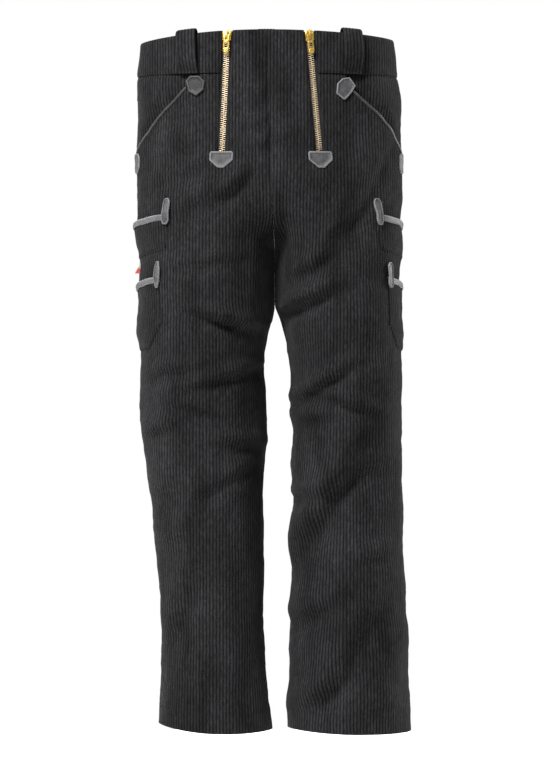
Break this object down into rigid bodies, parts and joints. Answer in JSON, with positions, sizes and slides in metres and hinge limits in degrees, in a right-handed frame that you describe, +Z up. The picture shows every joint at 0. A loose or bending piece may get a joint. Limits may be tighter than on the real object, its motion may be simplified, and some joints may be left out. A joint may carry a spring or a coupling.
{
  "type": "corduroy work trousers",
  "caption": "Straight-leg work trousers in heavy wide-rib corduroy, with a front fall between two slanted brass zips, leather-bound hip and thigh pockets, and wide belt loops.",
  "frame": {"origin": "middle of the waist opening, level with the waist edge at the front; where the wearer's waist or a hanger holds the trousers up", "axes": "+Z up from the hems to the waist, the front faces -Y, +X is the wearer's left"},
  "size_m": [0.42, 0.2495, 1.0631],
  "materials": {
    "corduroy": "wide-rib cotton corduroy, black",
    "lining": "plain cotton twill, black",
    "leather": "smooth grey-black leather, semi-matt",
    "brass": "polished",
    "zip_tape": "woven cotton tape, black",
    "tab": "woven tab, plain red"
  },
  "bodies": {
    "trousers": {"back_binding_left": "leather", "back_binding_right": "leather", "back_leg_left": "corduroy", "back_leg_right": "corduroy", "back_pocket_left": "corduroy", "back_pocket_right": "corduroy", "back_yoke_left": "corduroy", "back_yoke_right": "corduroy", "belt_loop_back_left": "corduroy", "belt_loop_back_right": "corduroy", "belt_loop_centre_back": "corduroy", "belt_loop_front_left": "corduroy", "belt_loop_front_right": "corduroy", "fly_shield_left": "corduroy", "fly_shield_right": "corduroy", "front_leg_left": "corduroy", "front_leg_right": "corduroy", "hem_turnup_left": "corduroy", "hem_turnup_right": "corduroy", "pocket_bag_left": "lining", "pocket_bag_right": "lining", "pocket_binding_left": "leather", "pocket_binding_right": "leather", "pocket_facing_left": "corduroy", "pocket_facing_right": "corduroy", "pocket_patch_lower_left": "leather", "pocket_patch_lower_right": "leather", "pocket_patch_upper_left": "leather", "pocket_patch_upper_right": "leather", "side_tab": "tab", "thigh_bar_lower_left": "leather", "thigh_bar_lower_right": "leather", "thigh_bar_upper_left": "leather", "thigh_bar_upper_right": "leather", "thigh_binding_lower_left": "leather", "thigh_binding_lower_right": "leather", "thigh_binding_upper_left": "leather", "thigh_binding_upper_right": "leather", "thigh_pocket_lower_left": "corduroy", "thigh_pocket_lower_right": "corduroy", "thigh_pocket_upper_left": "corduroy", "thigh_pocket_upper_right": "corduroy", "waistband": "corduroy", "waistband_lining": "lining", "zip_patch_left": "leather", "zip_patch_right": "leather", "zip_stop_left": "brass", "zip_stop_right": "brass", "zip_tape_inner_left": "zip_tape", "zip_tape_inner_right": "zip_tape", "zip_tape_outer_left": "zip_tape", "zip_tape_outer_right": "zip_tape", "zip_teeth_inner_left": "brass", "zip_teeth_inner_right": "brass", "zip_teeth_outer_left": "brass", "zip_teeth_outer_right": "brass"},
    "slider_left": {"zip_slider_left": "brass"},
    "slider_right": {"zip_slider_right": "brass"},
    "pull_left": {"zip_pull_left": "brass"},
    "pull_right": {"zip_pull_right": "brass"}
  },
  "joints": [
    {"name": "slider_left_slide", "type": "slide", "parent": "trousers", "child": "slider_left", "axis": [0.0881, -0.0779, -0.9931], "range_m": [0, 0.15]},
    {"name": "pull_left_hinge", "type": "hinge", "parent": "slider_left", "child": "pull_left", "pos_m": [0.05915, -0.08795, -0.00844], "axis": [-0.9793, -0.1892, -0.072], "range_deg": [0, 170]},
    {"name": "slider_right_slide", "type": "slide", "parent": "trousers", "child": "slider_right", "axis": [-0.0453, -0.0737, -0.9962], "range_m": [0, 0.15]},
    {"name": "pull_right_hinge", "type": "hinge", "parent": "slider_right", "child": "pull_right", "pos_m": [-0.06383, -0.08883, -0.00821], "axis": [-0.983, 0.1809, 0.0313], "range_deg": [0, 170]}
  ]
}
